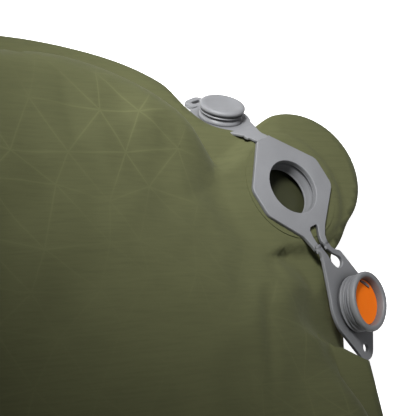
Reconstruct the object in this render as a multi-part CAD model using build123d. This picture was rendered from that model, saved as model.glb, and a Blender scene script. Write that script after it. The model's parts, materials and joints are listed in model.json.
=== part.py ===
from build123d import *
import os
from math import cos, radians, sin

# Self-inflating sleeping pad with a nested two-stage corner valve.
# Frame: millimetres, +Z up, origin at the centre of the resting face, +X towards the head end.
# The valve sits on a fabric ear at the head corner on the -Y side.

# ---- pad body, measured between the weld lines ----
pad_length = 1820.0
shoulder_width = 500.0
foot_width = 400.0
pad_thickness = 50.0
taper_start = 300.0        # x where the sides start to close towards the foot
head_corner_radius = 116.0
foot_corner_radius = 90.0
valve_corner_step = 18.0   # the head corner beside the ear is cut back by this much
edge_roll_radius = 18.0    # round of the upper and lower edges
weld_margin = 17.0         # flat welded edge outside the weld line
weld_plane = pad_thickness / 2
cover_thickness = 0.8
margin_thickness = 0.5     # each cover where it is pressed flat in the weld
foam_gap = 0.3             # between the foam and the covers
foam_side_gap = 4.0        # between the foam and the weld line

# ---- fabric ear that carries the valve ----
ear_angle = 20.0           # outward direction of the ear, turned from -Y towards +X
ear_radius = 35.0
ear_offset = 14.0          # ear centre, outward of the valve hole
ear_root_length = 60.0
stopper_room_centre = (-54.0, 2.0)   # where the welded edge is cut back for the hanging stopper
stopper_room_size = (34.0, 46.0)
neck_room_centre = (-38.0, 0.0)
neck_room_size = (12.0, 14.0)
plug_room_centre = (66.0, 2.0)       # and for the hanging inflation plug
plug_room_size = (48.0, 46.0)
room_corner_radius = 12.0
bite_radius = 34.0         # the thick body stops this far from the valve hole
bite_blend = 26.0
foam_bite_radius = 44.0
pocket_radius = 27.0       # air pocket under the valve
pocket_bottom_depth = 4.1  # below the weld plane
pocket_neck_width = 40.0
pocket_neck_length = 52.0
valve_x = 841.6
valve_y = -shoulder_width / 2

# ---- base plate and socket, heights measured from the plate's top face ----
plate_top = 34.0
plate_thickness = 2.0
plate_half_height = 24.5
plate_half_flat = 7.5
plate_half_length = 27.5
plate_corner_radius = 6.0
neck_half_width = 4.75
patch_thickness = 0.5
patch_radius = 26.5
hole_radius = 14.0
socket_outer_radius = 16.2
socket_depth = 9.5
socket_groove_radius = 14.7
socket_groove_top = 3.0
socket_groove_height = 1.5
socket_lip_radius = 13.5
socket_lip_height = 1.2
collar_clearance = 0.1     # between the socket collar and the fabric around it

# ---- inflation plug on its twin-rail tether ----
tether_reach = 32.5        # hole centre to the bend at the tether's waist
tether_droop = 16.0        # how far below level the plug hangs at rest
tether_axis_tilt = 4.0     # the bend line dips outward, so the plug leans outward
waist_half_width = 4.4
slit_half_width = 0.9
slot_half_width = 3.0
slot_start = 22.0          # from the hole centre
slot_square_length = 3.5   # length of the slot before it narrows
slit_length = 2.5          # narrow part on each side of the bend
teardrop_radius = 3.8
teardrop_centre = 8.8      # from the bend
teardrop_flare = 30.0      # where the teardrop's straight sides meet its round end
flap_thickness = 2.0
flap_radius = 18.5
flap_root_radius = 7.6
tab_end_radius = 5.2
tab_end_centre = 54.2      # from the bend
tab_hole_radius = 1.7
bend_gap = 0.8             # room at the bend so that the two halves never meet
landing_gap = 0.05         # left between a closed flap and what it lands on
tether_axis_height = landing_gap / 2
barrel_radius = 12.4
barrel_height = 10.0
barrel_bore_radius = 11.65
rim_radius = 12.8
rim_height = 2.2
rib_height = 0.9
rib_levels = (1.4, 3.5, 5.6)
rib_radii = (13.7, 13.5, 13.25)

# ---- one-way membrane inside the inflation plug, heights from the flap's plug side ----
seat_level = 4.9
seat_thickness = 1.0
seat_ring_radius = 9.2
seat_hub_radius = 2.6
seat_spoke_width = 1.6
seat_spokes = 6
spoke_overlap = 0.5        # how far a spoke runs into the ring
membrane_radius = 11.1
membrane_thickness = 0.6
membrane_hinge_radius = 9.9
membrane_hinge_side = 135.0   # direction of the clamped edge, seen from the open end
clip_width = 7.0
clip_height = 1.4
clip_gap = 0.4

# ---- stopper that plugs the inflation plug ----
stopper_reach = 28.0       # hole centre to the stopper's bend
stopper_droop = 38.0
stopper_axis_tilt = 2.2
stopper_axis_height = flap_thickness / 2 + landing_gap   # it lands on the seated inflation flap
stopper_bend_gap = 3.0
stopper_neck_length = 14.0
stopper_flange_radius = 15.5
stopper_flange_thickness = 2.0
stopper_tab_end = 49.0     # from the bend
stopper_tab_half_width = 6.5
stopper_tab_corner_radius = 3.0
stopper_slot_length = 7.0
stopper_slot_width = 2.6
stopper_slot_inset = 3.2   # slot centre to the tab's end
nib_radius = 1.3
nib_centre = 6.5           # from the bend
stopper_height = 6.5
stopper_disc_radius = 10.9
stopper_disc_height = 2.6
stopper_disc_chamfer = 0.8
stopper_groove_radius = 9.6
stopper_root_height = 1.0  # plain part of the plug next to the flange
stopper_rib_radius = 10.3
stopper_rib_level = 1.8
stopper_rib_height = 0.9
stopper_dish_radius = 8.4
stopper_dish_slope = 2.0
stopper_dish_depth = 0.7

# Valve frame: origin at the hole centre on the plate's top face, +X towards the inflation plug,
# +Y outward over the ear.
valve_frame = Location((valve_x, valve_y, plate_top), (0, 0, 180 + ear_angle))


def valve_plan():
    """The valve frame laid flat at z = 0, for outlines in plan."""
    return Location((valve_x, valve_y, 0), (0, 0, 180 + ear_angle))


def turned(points):
    """A solid of revolution about Z from (radius, height) points."""
    return revolve(make_face(Plane.XZ * Polyline(*points, close=True)), Axis.Z)


def plate_of(outline, bottom, thickness):
    """A flat sheet with its lower face at the height given."""
    return Pos(0, 0, bottom) * extrude(outline, thickness)


def nearest_corner(outline, point):
    """The outline's corner that is nearest to a point."""
    return outline.vertices().sort_by_distance(point)[0]


# ---------------------------------------------------------------- fabric body

def body_outline(bite):
    """Weld line: a tapered rounded rectangle with a bite taken out round the valve."""
    head = pad_length / 2
    shoulder = shoulder_width / 2
    foot = foot_width / 2
    outline = Polygon(
        (-head, foot),
        (-head, -foot),
        (taper_start, -shoulder),
        (head, -shoulder),
        (head, shoulder),
        (taper_start, shoulder),
        align=None,
    )
    head_corners = [nearest_corner(outline, (head, side)) for side in (-shoulder, shoulder)]
    outline = fillet(head_corners, head_corner_radius)
    foot_corners = [nearest_corner(outline, (-head, side)) for side in (-foot, foot)]
    outline = fillet(foot_corners, foot_corner_radius)
    # beside the ear the head corner is cut back to an arc of the same radius
    arc_x = head - head_corner_radius
    arc_y = -shoulder + valve_corner_step + head_corner_radius
    beyond_valve = Pos(valve_x, arc_y) * Rectangle(pad_length, 2 * head_corner_radius,
                                                   align=(Align.MIN, Align.MAX))
    outline -= beyond_valve - Pos(arc_x, arc_y) * Circle(head_corner_radius)
    outline -= Pos(valve_x, valve_y) * Circle(bite)
    # shrinking and growing again rounds the two corners that the bite leaves
    return offset(offset(outline, -bite_blend), bite_blend)


def pocket_outline(inset):
    """Plan of the air pocket under the valve and of its neck into the body."""
    neck = Rectangle(pocket_neck_width - 2 * inset, pocket_neck_length, align=(Align.CENTER, Align.MAX))
    return valve_plan() * (Circle(pocket_radius - inset) + neck)


def margin_outline():
    """Outer edge of the welded margin, with the ear and with room for the two hanging flaps."""
    outer = offset(body_outline(bite_radius), weld_margin)
    ear = Pos(0, ear_offset) * Circle(ear_radius)
    root = Rectangle(2 * ear_radius, ear_root_length, align=(Align.CENTER, Align.MAX))
    stopper_room = Pos(*stopper_room_centre) * RectangleRounded(*stopper_room_size, room_corner_radius)
    plug_room = Pos(*plug_room_centre) * RectangleRounded(*plug_room_size, room_corner_radius)
    neck_room = Pos(*neck_room_centre) * Rectangle(*neck_room_size)
    rooms = valve_plan() * (stopper_room + neck_room + plug_room)
    return outer + valve_plan() * (ear + Pos(0, ear_offset) * root) - rooms


def cover(side):
    """One cover: a thin shell over half of the body, its half of the pocket and the margin.

    side is +1 for the top cover and -1 for the bottom cover.
    """
    depth = pad_thickness / 2
    pocket_top = plate_top - plate_thickness - patch_thickness - weld_plane
    pocket_depth = pocket_top if side > 0 else pocket_bottom_depth
    shell = dome(body_outline(bite_radius), depth, edge_roll_radius)
    shell += extrude(pocket_outline(0), pocket_depth)
    shell += extrude(margin_outline(), margin_thickness)
    hollow = dome(offset(body_outline(bite_radius), -cover_thickness), depth - cover_thickness,
                  edge_roll_radius - cover_thickness)
    hollow += extrude(pocket_outline(cover_thickness), pocket_depth - cover_thickness)
    shell -= hollow
    if side > 0:
        opening = Cylinder(socket_outer_radius + collar_clearance, pad_thickness)
        shell -= valve_plan() * opening
    else:
        shell = mirror(shell, Plane.XY)
    return Pos(0, 0, weld_plane) * shell


def dome(outline, height, roll):
    """A prism over an outline with its top edge rounded."""
    prism = extrude(outline, height)
    return fillet(prism.edges().group_by(Axis.Z)[-1], roll)


def foam_core():
    """The open-cell foam slab between the covers, cut away round the valve."""
    gap = cover_thickness + foam_gap
    outline = offset(body_outline(foam_bite_radius), -foam_side_gap)
    slab = Pos(0, 0, gap) * extrude(outline, pad_thickness - 2 * gap)
    rims = slab.edges().group_by(Axis.Z)
    return fillet(rims[0] + rims[-1], edge_roll_radius - gap)


def ear_patch():
    """Reinforcing disc bonded between the ear and the base plate."""
    ring = Circle(patch_radius) - Circle(socket_outer_radius + collar_clearance)
    return valve_frame * plate_of(ring, -plate_thickness - patch_thickness, patch_thickness)


# ---------------------------------------------------------------- moulded valve

def base_outline():
    """Rounded eight-sided plate with the stopper's neck and the first half of the tether."""
    h, f, e, n = plate_half_height, plate_half_flat, plate_half_length, neck_half_width
    plate = Polygon((-e, -n), (-f, -h), (f, -h), (e, -n), (e, n), (f, h), (-f, h), (-e, n), align=None)
    rows = plate.vertices().group_by(Axis.Y)
    plate = fillet(rows[0] + rows[-1], plate_corner_radius)
    tether = Rectangle(tether_reach, 2 * waist_half_width, align=(Align.MIN, Align.CENTER))
    neck = Rectangle(stopper_reach, 2 * n, align=(Align.MAX, Align.CENTER))
    slot = Polygon(
        (slot_start, slot_half_width),
        (slot_start, -slot_half_width),
        (slot_start + slot_square_length, -slot_half_width),
        (tether_reach - slit_length, -slit_half_width),
        (tether_reach + slit_length, -slit_half_width),
        (tether_reach + slit_length, slit_half_width),
        (tether_reach - slit_length, slit_half_width),
        (slot_start + slot_square_length, slot_half_width),
        align=None,
    )
    return plate + tether + neck - slot - Circle(hole_radius)


def valve_base():
    """Base plate and the grooved socket below it, one moulding."""
    plate = plate_of(base_outline(), -plate_thickness, plate_thickness)
    groove_bottom = socket_groove_top + socket_groove_height
    socket = turned([
        (hole_radius, -plate_thickness / 2),
        (hole_radius, -socket_groove_top),
        (socket_groove_radius, -socket_groove_top),
        (socket_groove_radius, -groove_bottom),
        (hole_radius, -groove_bottom),
        (hole_radius, -socket_depth + socket_lip_height),
        (socket_lip_radius, -socket_depth + socket_lip_height),
        (socket_lip_radius, -socket_depth),
        (socket_outer_radius, -socket_depth),
        (socket_outer_radius, -plate_thickness / 2),
    ])
    return valve_frame * (plate + socket)


def plug_flap_outline():
    """Second half of the tether, the rounded-diamond flap and its pull tab, from the bend."""
    flap = Pos(tether_reach, 0) * Circle(flap_radius)
    root = Pos(teardrop_centre, 0) * Circle(flap_root_radius)
    tab = Pos(tab_end_centre, 0) * Circle(tab_end_radius)
    diamond = make_hull(flap.edges() + root.edges() + tab.edges())
    rails = Polygon(
        (bend_gap, waist_half_width),
        (bend_gap, -waist_half_width),
        (slit_length, -waist_half_width),
        (teardrop_centre, -flap_root_radius),
        (teardrop_centre, flap_root_radius),
        (slit_length, waist_half_width),
        align=None,
    )
    before_rails = Rectangle(slit_length, 2 * flap_root_radius, align=(Align.MIN, Align.CENTER))
    teardrop = Pos(teardrop_centre, 0) * Circle(teardrop_radius)
    wedge_end = teardrop_centre - teardrop_radius * sin(radians(teardrop_flare))
    wedge_half_width = teardrop_radius * cos(radians(teardrop_flare))
    slit = Polygon(
        (0, slit_half_width),
        (0, -slit_half_width),
        (slit_length, -slit_half_width),
        (wedge_end, -wedge_half_width),
        (wedge_end, wedge_half_width),
        (slit_length, slit_half_width),
        align=None,
    )
    tab_hole = Pos(tab_end_centre, 0) * Circle(tab_hole_radius)
    return diamond - before_rails + rails - teardrop - slit - tab_hole


def plug_barrel():
    """Ribbed barrel of the inflation plug, rising from the flap's plug side."""
    profile = [(barrel_bore_radius, -flap_thickness), (barrel_radius, -flap_thickness)]
    for level, radius in zip(rib_levels, rib_radii):
        profile += [
            (barrel_radius, level),
            (radius, level),
            (radius, level + rib_height),
            (barrel_radius, level + rib_height),
        ]
    profile += [
        (barrel_radius, barrel_height - rim_height),
        (rim_radius, barrel_height - rim_height),
        (rim_radius, barrel_height),
        (barrel_bore_radius, barrel_height),
    ]
    return turned(profile)


def tether_axis():
    """Bend line of the tether in the valve frame; turning about it seats the plug."""
    tilt = radians(tether_axis_tilt)
    return Axis((tether_reach, 0, tether_axis_height), (0, -cos(tilt), sin(tilt)))


def stopper_axis():
    """Bend line of the stopper in the valve frame; turning about it closes the stopper."""
    tilt = radians(stopper_axis_tilt)
    return Axis((-stopper_reach, 0, stopper_axis_height), (0, cos(tilt), -sin(tilt)))


def hung_plug(piece):
    """Takes a piece drawn level, with the bend at the origin and +X outward, to the plug's rest."""
    level = Pos(tether_reach, 0, 0) * piece
    seated = level.rotate(Axis((tether_reach, 0, tether_axis_height), (0, -1, 0)), 180)
    return valve_frame * seated.rotate(tether_axis(), -180 - tether_droop)


def hung_stopper(piece):
    """Takes a piece drawn level, with the bend at the origin and +X outward, to the stopper's rest."""
    level = Pos(-stopper_reach, 0, 0) * piece.rotate(Axis.Z, 180)
    closed = level.rotate(Axis((-stopper_reach, 0, stopper_axis_height), (0, 1, 0)), 180)
    return valve_frame * closed.rotate(stopper_axis(), -180 - stopper_droop)


def inflation_plug():
    """Flap, tab, second half of the tether and ribbed barrel, one moulding."""
    outline = plug_flap_outline() - Pos(tether_reach, 0) * Circle(barrel_bore_radius)
    flap = plate_of(outline, -flap_thickness, flap_thickness)
    return hung_plug(flap + Pos(tether_reach, 0, 0) * plug_barrel())


def valve_seat():
    """Spoked ring pressed into the barrel; the membrane lies on it."""
    ring = Circle(barrel_bore_radius) - Circle(seat_ring_radius)
    spoke = Rectangle(seat_ring_radius + spoke_overlap, seat_spoke_width, align=(Align.MIN, Align.CENTER))
    grille = ring + Circle(seat_hub_radius)
    for count in range(seat_spokes):
        grille += Rot(0, 0, count * 360 / seat_spokes) * spoke
    return hung_plug(Pos(tether_reach, 0, 0) * plate_of(grille, seat_level, seat_thickness))


def membrane():
    """Flat silicone disc, straight along its clamped edge."""
    disc = Circle(membrane_radius)
    beyond_hinge = Pos(membrane_hinge_radius, 0) * Rectangle(membrane_radius, 2 * membrane_radius,
                                                             align=(Align.MIN, Align.CENTER))
    outline = Rot(0, 0, membrane_hinge_side) * (disc - beyond_hinge)
    bottom = seat_level + seat_thickness
    return hung_plug(Pos(tether_reach, 0, 0) * plate_of(outline, bottom, membrane_thickness))


def membrane_clip():
    """Small bar that clamps the membrane's edge to the seat."""
    inner = membrane_hinge_radius + clip_gap
    bar = Pos(inner, 0) * Rectangle(barrel_bore_radius - inner, clip_width, align=(Align.MIN, Align.CENTER))
    outline = Rot(0, 0, membrane_hinge_side) * (bar & Circle(barrel_bore_radius))
    bottom = seat_level + seat_thickness
    return hung_plug(Pos(tether_reach, 0, 0) * plate_of(outline, bottom, clip_height))


def stopper():
    """Neck, round flange, slotted pull tab and ribbed plug, one moulding."""
    flange = Pos(stopper_reach, 0) * Circle(stopper_flange_radius)
    neck = Pos(stopper_bend_gap, 0) * Rectangle(stopper_neck_length, 2 * neck_half_width,
                                                align=(Align.MIN, Align.CENTER))
    tab_length = stopper_tab_end - stopper_reach
    tab = Pos(stopper_reach, 0) * Rectangle(tab_length, 2 * stopper_tab_half_width,
                                            align=(Align.MIN, Align.CENTER))
    tab = fillet(tab.vertices().group_by(Axis.X)[-1], stopper_tab_corner_radius)
    nib = Pos(nib_centre, neck_half_width) * Circle(nib_radius)
    slot = Rot(0, 0, 90) * SlotOverall(stopper_slot_length, stopper_slot_width)
    slot = Pos(stopper_tab_end - stopper_slot_inset, 0) * slot
    outline = flange + neck + tab + nib - slot
    flat = plate_of(outline, -stopper_flange_thickness, stopper_flange_thickness)
    rib_top = stopper_rib_level + stopper_rib_height
    disc_bottom = stopper_height - stopper_disc_height
    plug = turned([
        (0, -stopper_flange_thickness / 2),
        (stopper_rib_radius, -stopper_flange_thickness / 2),
        (stopper_rib_radius, stopper_root_height),
        (stopper_groove_radius, stopper_root_height),
        (stopper_groove_radius, stopper_rib_level),
        (stopper_rib_radius, stopper_rib_level),
        (stopper_rib_radius, rib_top),
        (stopper_groove_radius, rib_top),
        (stopper_groove_radius, disc_bottom),
        (stopper_disc_radius, disc_bottom),
        (stopper_disc_radius, stopper_height - stopper_disc_chamfer),
        (stopper_disc_radius - stopper_disc_chamfer, stopper_height),
        (stopper_dish_radius, stopper_height),
        (stopper_dish_radius - stopper_dish_slope, stopper_height - stopper_dish_depth),
        (0, stopper_height - stopper_dish_depth),
    ])
    return hung_stopper(flat + Pos(stopper_reach, 0, 0) * plug)


nodes = {
    "top_cover": cover(1),
    "bottom_cover": cover(-1),
    "foam_core": foam_core(),
    "ear_patch": ear_patch(),
    "valve_base": valve_base(),
    "inflation_plug": inflation_plug(),
    "valve_seat": valve_seat(),
    "membrane": membrane(),
    "membrane_clip": membrane_clip(),
    "stopper": stopper(),
}

os.makedirs("parts", exist_ok=True)
for name, shape in nodes.items():
    export_step(shape, f"parts/{name}.step")


def place_of(point):
    """A point of the valve frame, in the pad's own frame."""
    return (valve_frame * Vertex(*point)).center()


def membrane_bend():
    """Where the membrane bends, and a second point along that line, at rest."""
    side = radians(membrane_hinge_side)
    level = seat_level + seat_thickness
    start = (tether_reach + membrane_hinge_radius * cos(side), membrane_hinge_radius * sin(side), level)
    end = (start[0] - sin(side), start[1] + cos(side), level)
    return [hung_plug(Vertex(*point)).center() for point in (start, end)]


def bend_line(axis):
    """The two points of an axis of the valve frame that give its place and direction."""
    return [place_of(axis.position), place_of(axis.position + axis.direction)]


# where the joints turn, in the pad's own frame
joint_lines = {
    "tether": bend_line(tether_axis()),
    "stopper": bend_line(stopper_axis()),
    "membrane": membrane_bend(),
}
for name, (start, end) in joint_lines.items():
    print(name, "turns at", start, "along", end - start)
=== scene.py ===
import bpy
import json
import random
import bmesh
import numpy as np
from numpy.linalg import norm
from math import acos, asin, atan2, ceil, cos, degrees, hypot, pi, radians, sin, sqrt, tan
from mathutils import Matrix, Vector, noise
from mathutils.geometry import delaunay_2d_cdt
from mathutils.kdtree import KDTree


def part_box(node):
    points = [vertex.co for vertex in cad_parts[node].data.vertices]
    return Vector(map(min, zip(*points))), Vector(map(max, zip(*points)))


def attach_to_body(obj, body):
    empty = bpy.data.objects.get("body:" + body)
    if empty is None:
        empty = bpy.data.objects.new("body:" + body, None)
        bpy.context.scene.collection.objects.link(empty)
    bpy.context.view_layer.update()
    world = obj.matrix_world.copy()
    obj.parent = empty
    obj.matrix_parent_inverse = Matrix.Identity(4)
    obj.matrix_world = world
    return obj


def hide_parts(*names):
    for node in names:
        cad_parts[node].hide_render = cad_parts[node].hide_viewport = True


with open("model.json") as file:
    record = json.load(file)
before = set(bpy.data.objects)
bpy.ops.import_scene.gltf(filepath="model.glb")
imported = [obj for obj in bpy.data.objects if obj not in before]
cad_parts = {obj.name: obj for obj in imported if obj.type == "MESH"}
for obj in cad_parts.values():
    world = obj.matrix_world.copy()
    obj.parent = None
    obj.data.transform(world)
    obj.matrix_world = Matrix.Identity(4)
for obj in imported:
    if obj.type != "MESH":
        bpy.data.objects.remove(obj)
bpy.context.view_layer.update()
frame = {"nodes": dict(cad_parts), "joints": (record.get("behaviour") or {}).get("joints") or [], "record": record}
scene = bpy.context.scene

# Everything below is worked out in millimetres and scaled to metres when a mesh is made.
# Valve coordinates: origin at the hole centre on the plate's top face, first axis towards the
# inflation plug, second axis outward over the ear, third axis up.

# ---- places read from the frame ----


def mm(vector):
    return np.array(vector, float) * 1000


def unit(vector):
    return vector / norm(vector)


mounts = {mount["name"]: mount for mount in frame["record"]["mounts"]}
joints = {joint["name"]: joint for joint in frame["joints"]}
hole = mm(mounts["valve_bore"]["pos_m"])
hole[2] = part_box("valve_base")[1].z * 1000
plug_pivot = mm(joints["tether_bend"]["pos_m"])
stopper_pivot = mm(joints["stopper_bend"]["pos_m"])
along = unit(plug_pivot[:2] - stopper_pivot[:2])
valve_axes = np.array([(along[0], along[1], 0), (-along[1], along[0], 0), (0, 0, 1)])


def from_valve(points):
    """Valve coordinates to the pad's own frame."""
    return hole + np.asarray(points, float) @ valve_axes


def to_valve(points):
    """Plan position in the pad's frame to valve coordinates."""
    return (np.asarray(points)[:, :2] - hole[:2]) @ valve_axes[:2, :2].T


def turn(points, origin, axis, angle):
    """Turns points about a line, by an angle in degrees."""
    axis = unit(np.asarray(axis, float))
    p = np.asarray(points, float) - origin
    c, s = cos(radians(angle)), sin(radians(angle))
    return origin + p * c + np.cross(axis, p) * s + np.outer(p @ axis, axis) * (1 - c)


def hung(points, joint_name, side, pose=0.0):
    """Pieces drawn level from the bend outward, to where they hang at a pose, 0 for rest.

    side is +1 for the inflation plug and -1 for the stopper. Closed, a piece has made an exact half
    turn about a level line; from there it swings back about the joint's own slightly tilted line.
    """
    joint = joints[joint_name]
    pivot = (mm(joint["pos_m"]) - hole) @ valve_axes.T
    axis = valve_axes @ np.array(joint["axis"], float)
    level = np.asarray(points, float) * (side, side, 1) + (pivot[0], 0, 0)
    closed = turn(level, pivot, (0, -side, 0), 180)
    return from_valve(turn(closed, pivot, axis, pose - joint["range_deg"][1]))


# ---- small mesh helpers ----


tiny = 1e-12
same_point = 1e-6  # metres
batch = 4000


def smooth01(x):
    """0 below 0, 1 above 1 and a smooth step between."""
    x = np.clip(x, 0, 1)
    return x * x * (3 - 2 * x)


def ramp(x, start, end):
    """A smooth rise from 0 to 1 between two values of x."""
    return smooth01((x - start) / (end - start))


def smooth_max(a, b, width):
    """The larger of two fields, with the corner between them rounded over a width."""
    h = np.clip(0.5 + 0.5 * (a - b) / width, 0, 1)
    return b + (a - b) * h + width * h * (1 - h)


def smooth_min(a, b, width):
    return -smooth_max(-a, -b, width)


def make_object(name, points, faces, material):
    mesh = bpy.data.meshes.new(name)
    mesh.from_pydata((np.asarray(points) / 1000).tolist(), [], faces)
    mesh.validate()
    mesh.shade_smooth()
    mesh.materials.append(material)
    obj = bpy.data.objects.new(name, mesh)
    scene.collection.objects.link(obj)
    return obj


def attach(piece, body, node):
    """The piece moves with a body and stands in for a CAD node, which it hides."""
    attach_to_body(piece, body)
    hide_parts(node)


def moulding(name, points, faces, material):
    """A welded mesh whose flat faces look flat beside their rounded edges."""
    obj = make_object(name, points, faces, material)
    bm = bmesh.new()
    bm.from_mesh(obj.data)
    bmesh.ops.remove_doubles(bm, verts=bm.verts, dist=same_point)
    bmesh.ops.recalc_face_normals(bm, faces=bm.faces)
    bm.to_mesh(obj.data)
    bm.free()
    weighted = obj.modifiers.new("normals", "WEIGHTED_NORMAL")
    weighted.keep_sharp = True
    weighted.weight = 80
    return obj


def angle_of(vector):
    return degrees(atan2(vector[1], vector[0]))


def arc(centre, radius, start, end, step=10.0):
    """Points of an arc, angles in degrees, turning from start to end."""
    count = max(2, int(abs(end - start) / step) + 1)
    angles = np.radians(np.linspace(start, end, count))
    return [(centre[0] + radius * cos(a), centre[1] + radius * sin(a)) for a in angles]


def rounded(corners, step=15.0):
    """A closed outline from (x, y, radius) corners, each corner rounded."""
    outline = []
    for index, (x, y, radius) in enumerate(corners):
        here = np.array((x, y), float)
        before = np.array(corners[index - 1][:2], float) - here
        after = np.array(corners[(index + 1) % len(corners)][:2], float) - here
        room = 0.45 * min(norm(before), norm(after))
        before, after = unit(before), unit(after)
        half = acos(max(-1.0, min(1.0, float(before @ after)))) / 2
        if radius <= 0 or half > radians(88):
            outline.append((x, y))
            continue
        reach = min(radius / tan(half), room)
        radius = reach * tan(half)
        bisector = before + after
        centre = here + bisector / norm(bisector) * radius / sin(half)
        start = angle_of(here + before * reach - centre)
        sweep = (angle_of(here + after * reach - centre) - start + 180) % 360 - 180
        outline += arc(centre, radius, start, start + sweep, step)
    return outline


def inside(points, loops):
    """Even-odd test of plan points against closed loops."""
    points = np.asarray(points, float)
    result = np.zeros(len(points), bool)
    for loop in loops:
        a = np.asarray(loop, float)
        b = np.roll(a, -1, axis=0)
        for (x0, y0), (x1, y1) in zip(a, b):
            crosses = (y0 > points[:, 1]) != (y1 > points[:, 1])
            if crosses.any():
                x = x0 + (points[:, 1] - y0) * (x1 - x0) / (y1 - y0 if y1 != y0 else tiny)
                result ^= crosses & (points[:, 0] < x)
    return result


def distance_to_loop(points, loop):
    """Distance from plan points to a closed loop, worked out in batches to save memory."""
    a = np.asarray(loop, float)
    ab = np.roll(a, -1, axis=0) - a
    length2 = (ab ** 2).sum(1) + tiny
    distance = []
    for start in range(0, len(points), batch):
        p = points[start:start + batch]
        t = np.clip(((p[:, None, :] - a) * ab).sum(2) / length2, 0, 1)
        q = a + t[:, :, None] * ab
        distance.append(np.sqrt(((p[:, None, :] - q) ** 2).sum(2).min(1)))
    return np.concatenate(distance)


def triangulate(points, segments, loops):
    """Constrained triangulation of plan points; keeps the triangles inside the loops."""
    verts, _, faces, _, _, _ = delaunay_2d_cdt([Vector(p) for p in points], segments, [], 0, 1e-5)
    verts = np.array([tuple(v) for v in verts])
    faces = np.array([f for f in faces if len(f) == 3])
    kept = faces[inside(verts[faces].mean(1), loops)]
    return verts, kept


def loop_segments(first, count):
    """Pairs of neighbouring points round a loop."""
    return [(first + i, first + (i + 1) % count) for i in range(count)]


def inward_normals(loop):
    """Unit vectors into a counter-clockwise loop, at its points."""
    tangent = np.roll(loop, -1, axis=0) - np.roll(loop, 1, axis=0)
    tangent /= norm(tangent, axis=1)[:, None]
    return np.stack([-tangent[:, 1], tangent[:, 0]], 1)


def renumbered(faces, vertex_count):
    """The vertices that faces use, and the same faces counted in those alone."""
    used = np.unique(faces)
    place = np.full(vertex_count, -1)
    place[used] = np.arange(len(used))
    return used, place[faces]


def soft_plate(loops, thickness, edge=0.45):
    """Points and faces of a flat plate with rounded edges, its top at height 0.

    The first loop is counter-clockwise, holes are clockwise.
    """
    points, faces, caps = [], [], []
    bend = [(edge * (1 - cos(a)), edge * sin(a)) for a in np.radians((0, 30, 60, 90))]
    rings = [(inset, edge - thickness - rise) for inset, rise in reversed(bend)]
    rings += [(inset, rise - edge) for inset, rise in bend]
    for loop in loops:
        p, inward = np.asarray(loop, float), inward_normals(loop)
        first, count = len(points), len(p)
        for inset, height in rings:
            points += [(x, y, height) for x, y in p + inward * inset]
        for low in range(first, len(points) - count, count):
            faces += [(i, j, count + j, count + i) for i, j in loop_segments(low, count)]
        caps.append(p + inward * edge)
    flat, segments = [], []
    for cap in caps:
        segments += loop_segments(len(flat), len(cap))
        flat += [tuple(v) for v in cap]
    verts, kept = triangulate(flat, segments, caps)
    for height in (0.0, -thickness):
        first = len(points)
        points += [(x, y, height) for x, y in verts]
        faces += [tuple(int(first + i) for i in face) for face in kept]
    return np.array(points), faces


def lathe(profile, segments=96):
    """A (radius, height) profile turned about the third axis.

    The profile closes on itself like a ring, or starts and ends on the axis.
    """
    on_axis = profile[0][0] == 0
    side = profile[1:-1] if on_axis else profile
    count = len(side)
    angles = np.linspace(0, 2 * pi, segments, endpoint=False)
    points = [(r * cos(a), r * sin(a), z) for a in angles for r, z in side]
    if on_axis:
        points += [(0, 0, profile[0][1]), (0, 0, profile[-1][1])]
    start, end = segments * count, segments * count + 1
    faces = []
    for s in range(segments):
        low, high = s * count, ((s + 1) % segments) * count
        faces += [(low + i, high + i, high + i + 1, low + i + 1) for i in range(count - 1)]
        if on_axis:
            faces += [(start, high, low), (end, low + count - 1, high + count - 1)]
        else:
            faces.append((low + count - 1, high + count - 1, high, low))
    return np.array(points), faces


def prism(section, low, high):
    """A (first axis, third axis) section run along the second axis."""
    count = len(section)
    points = [(x, y, z) for y in (low, high) for x, z in section]
    faces = [tuple(range(count))[::-1], tuple(range(count, 2 * count))]
    faces += [(i, j, count + j, count + i) for i, j in loop_segments(0, count)]
    return np.array(points), faces


def joined(*parts):
    """Several (points, faces) as one."""
    points, faces = [], []
    for part_points, part_faces in parts:
        first = sum(len(p) for p in points)
        points.append(np.asarray(part_points, float))
        faces += [tuple(first + i for i in face) for face in part_faces]
    return np.concatenate(points), faces


def shifted(part, offset):
    return part[0] + np.array(offset, float), part[1]


# ---- materials ----


def srgb(r, g, b):
    """Display colour 0..255 to linear."""
    values = [c / 255 for c in (r, g, b)]
    return tuple(c / 12.92 if c <= 0.04045 else ((c + 0.055) / 1.055) ** 2.4 for c in values) + (1.0,)


def shaded(colour, factor):
    """A linear colour made lighter or darker."""
    return tuple(min(1, c * factor) for c in colour[:3]) + (1,)


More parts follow.
